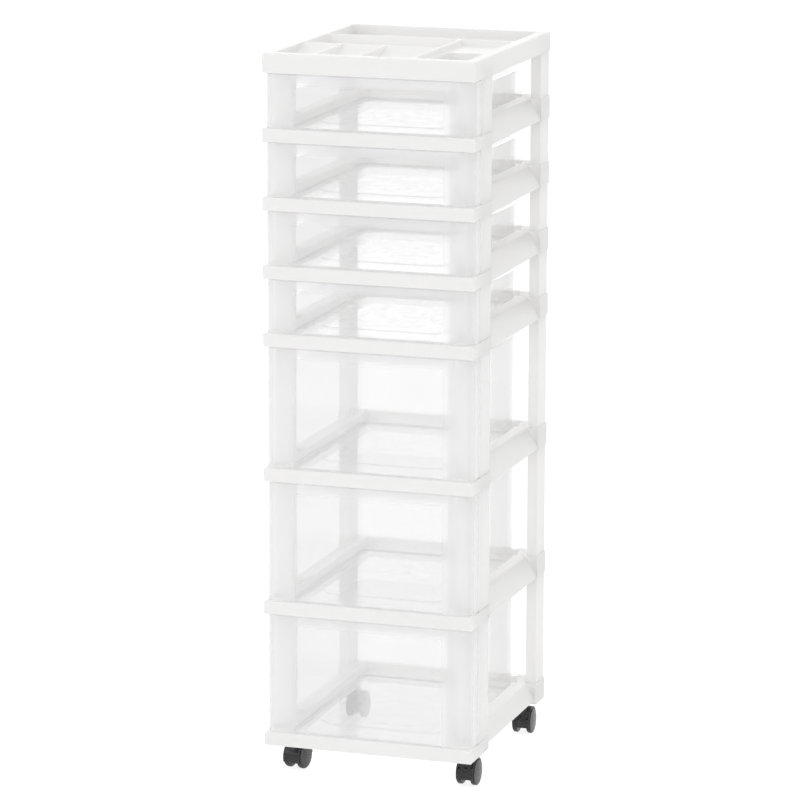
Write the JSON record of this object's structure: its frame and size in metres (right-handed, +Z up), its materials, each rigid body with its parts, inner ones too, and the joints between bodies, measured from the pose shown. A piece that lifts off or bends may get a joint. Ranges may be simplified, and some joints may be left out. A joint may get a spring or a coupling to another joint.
{
  "type": "plastic drawer tower",
  "caption": "Plastic drawer tower: clear drawers of two heights slide in stacked white frame rings, with an organizer tray on top and swivel casters below.",
  "frame": {"origin": "centre of the footprint, at the floor under the caster wheels", "axes": "+X to the right seen from the front, the drawer fronts face -Y and the drawers open along -Y, +Z up"},
  "size_m": [0.306, 0.3629, 1.0341],
  "materials": {
    "white_frame": "smooth moulded, slight sheen",
    "clear_drawer": "clear, slightly hazy, glossy",
    "black_caster": "smooth moulded",
    "steel": "turned and plated"
  },
  "bodies": {
    "tower": {"organizer_top": "white_frame", "deep_frame_1": "white_frame", "deep_frame_2": "white_frame", "deep_frame_3": "white_frame", "shallow_frame_1": "white_frame", "shallow_frame_2": "white_frame", "shallow_frame_3": "white_frame", "shallow_frame_4": "white_frame", "front_left_stem": "steel", "front_right_stem": "steel", "rear_left_stem": "steel", "rear_right_stem": "steel"},
    "deep_drawer_1_body": {"deep_drawer_1": "clear_drawer"},
    "deep_drawer_2_body": {"deep_drawer_2": "clear_drawer"},
    "deep_drawer_3_body": {"deep_drawer_3": "clear_drawer"},
    "shallow_drawer_1_body": {"shallow_drawer_1": "clear_drawer"},
    "shallow_drawer_2_body": {"shallow_drawer_2": "clear_drawer"},
    "shallow_drawer_3_body": {"shallow_drawer_3": "clear_drawer"},
    "shallow_drawer_4_body": {"shallow_drawer_4": "clear_drawer"},
    "front_left_caster": {"front_left_hood": "black_caster", "front_left_axle": "steel"},
    "front_left_inner_roller": {"front_left_inner_wheel": "black_caster"},
    "front_left_outer_roller": {"front_left_outer_wheel": "black_caster"},
    "front_right_caster": {"front_right_hood": "black_caster", "front_right_axle": "steel"},
    "front_right_inner_roller": {"front_right_inner_wheel": "black_caster"},
    "front_right_outer_roller": {"front_right_outer_wheel": "black_caster"},
    "rear_left_caster": {"rear_left_hood": "black_caster", "rear_left_axle": "steel"},
    "rear_left_inner_roller": {"rear_left_inner_wheel": "black_caster"},
    "rear_left_outer_roller": {"rear_left_outer_wheel": "black_caster"},
    "rear_right_caster": {"rear_right_hood": "black_caster", "rear_right_axle": "steel"},
    "rear_right_inner_roller": {"rear_right_inner_wheel": "black_caster"},
    "rear_right_outer_roller": {"rear_right_outer_wheel": "black_caster"}
  },
  "joints": [
    {"name": "deep_drawer_1_slide", "type": "slide", "parent": "tower", "child": "deep_drawer_1_body", "axis": [0, -1, 0], "range_m": [0, 0.262]},
    {"name": "deep_drawer_2_slide", "type": "slide", "parent": "tower", "child": "deep_drawer_2_body", "axis": [0, -1, 0], "range_m": [0, 0.262]},
    {"name": "deep_drawer_3_slide", "type": "slide", "parent": "tower", "child": "deep_drawer_3_body", "axis": [0, -1, 0], "range_m": [0, 0.262]},
    {"name": "shallow_drawer_1_slide", "type": "slide", "parent": "tower", "child": "shallow_drawer_1_body", "axis": [0, -1, 0], "range_m": [0, 0.262]},
    {"name": "shallow_drawer_2_slide", "type": "slide", "parent": "tower", "child": "shallow_drawer_2_body", "axis": [0, -1, 0], "range_m": [0, 0.262]},
    {"name": "shallow_drawer_3_slide", "type": "slide", "parent": "tower", "child": "shallow_drawer_3_body", "axis": [0, -1, 0], "range_m": [0, 0.262]},
    {"name": "shallow_drawer_4_slide", "type": "slide", "parent": "tower", "child": "shallow_drawer_4_body", "axis": [0, -1, 0], "range_m": [0, 0.262]},
    {"name": "front_left_swivel", "type": "hinge", "parent": "tower", "child": "front_left_caster", "pos_m": [-0.129, -0.127, 0.0477], "axis": [0, 0, 1], "continuous": true},
    {"name": "front_left_inner_spin", "type": "hinge", "parent": "front_left_caster", "child": "front_left_inner_roller", "pos_m": [-0.12697, -0.11416, 0.0185], "axis": [0.9877, -0.1564, 0], "continuous": true},
    {"name": "front_left_outer_spin", "type": "hinge", "parent": "front_left_caster", "child": "front_left_outer_roller", "pos_m": [-0.12697, -0.11416, 0.0185], "axis": [0.9877, -0.1564, 0], "continuous": true},
    {"name": "front_right_swivel", "type": "hinge", "parent": "tower", "child": "front_right_caster", "pos_m": [0.129, -0.127, 0.0477], "axis": [0, 0, 1], "continuous": true},
    {"name": "front_right_inner_spin", "type": "hinge", "parent": "front_right_caster", "child": "front_right_inner_roller", "pos_m": [0.12945, -0.11401, 0.0185], "axis": [0.9994, -0.0349, 0], "continuous": true},
    {"name": "front_right_outer_spin", "type": "hinge", "parent": "front_right_caster", "child": "front_right_outer_roller", "pos_m": [0.12945, -0.11401, 0.0185], "axis": [0.9994, -0.0349, 0], "continuous": true},
    {"name": "rear_left_swivel", "type": "hinge", "parent": "tower", "child": "rear_left_caster", "pos_m": [-0.129, 0.147, 0.0477], "axis": [0, 0, 1], "continuous": true},
    {"name": "rear_left_inner_spin", "type": "hinge", "parent": "rear_left_caster", "child": "rear_left_inner_roller", "pos_m": [-0.12923, 0.16, 0.0185], "axis": [0.9998, 0.0175, 0], "continuous": true},
    {"name": "rear_left_outer_spin", "type": "hinge", "parent": "rear_left_caster", "child": "rear_left_outer_roller", "pos_m": [-0.12923, 0.16, 0.0185], "axis": [0.9998, 0.0175, 0], "continuous": true},
    {"name": "rear_right_swivel", "type": "hinge", "parent": "tower", "child": "rear_right_caster", "pos_m": [0.129, 0.147, 0.0477], "axis": [0, 0, 1], "continuous": true},
    {"name": "rear_right_inner_spin", "type": "hinge", "parent": "rear_right_caster", "child": "rear_right_inner_roller", "pos_m": [0.12877, 0.16, 0.0185], "axis": [0.9998, 0.0175, 0], "continuous": true},
    {"name": "rear_right_outer_spin", "type": "hinge", "parent": "rear_right_caster", "child": "rear_right_outer_roller", "pos_m": [0.12877, 0.16, 0.0185], "axis": [0.9998, 0.0175, 0], "continuous": true}
  ]
}
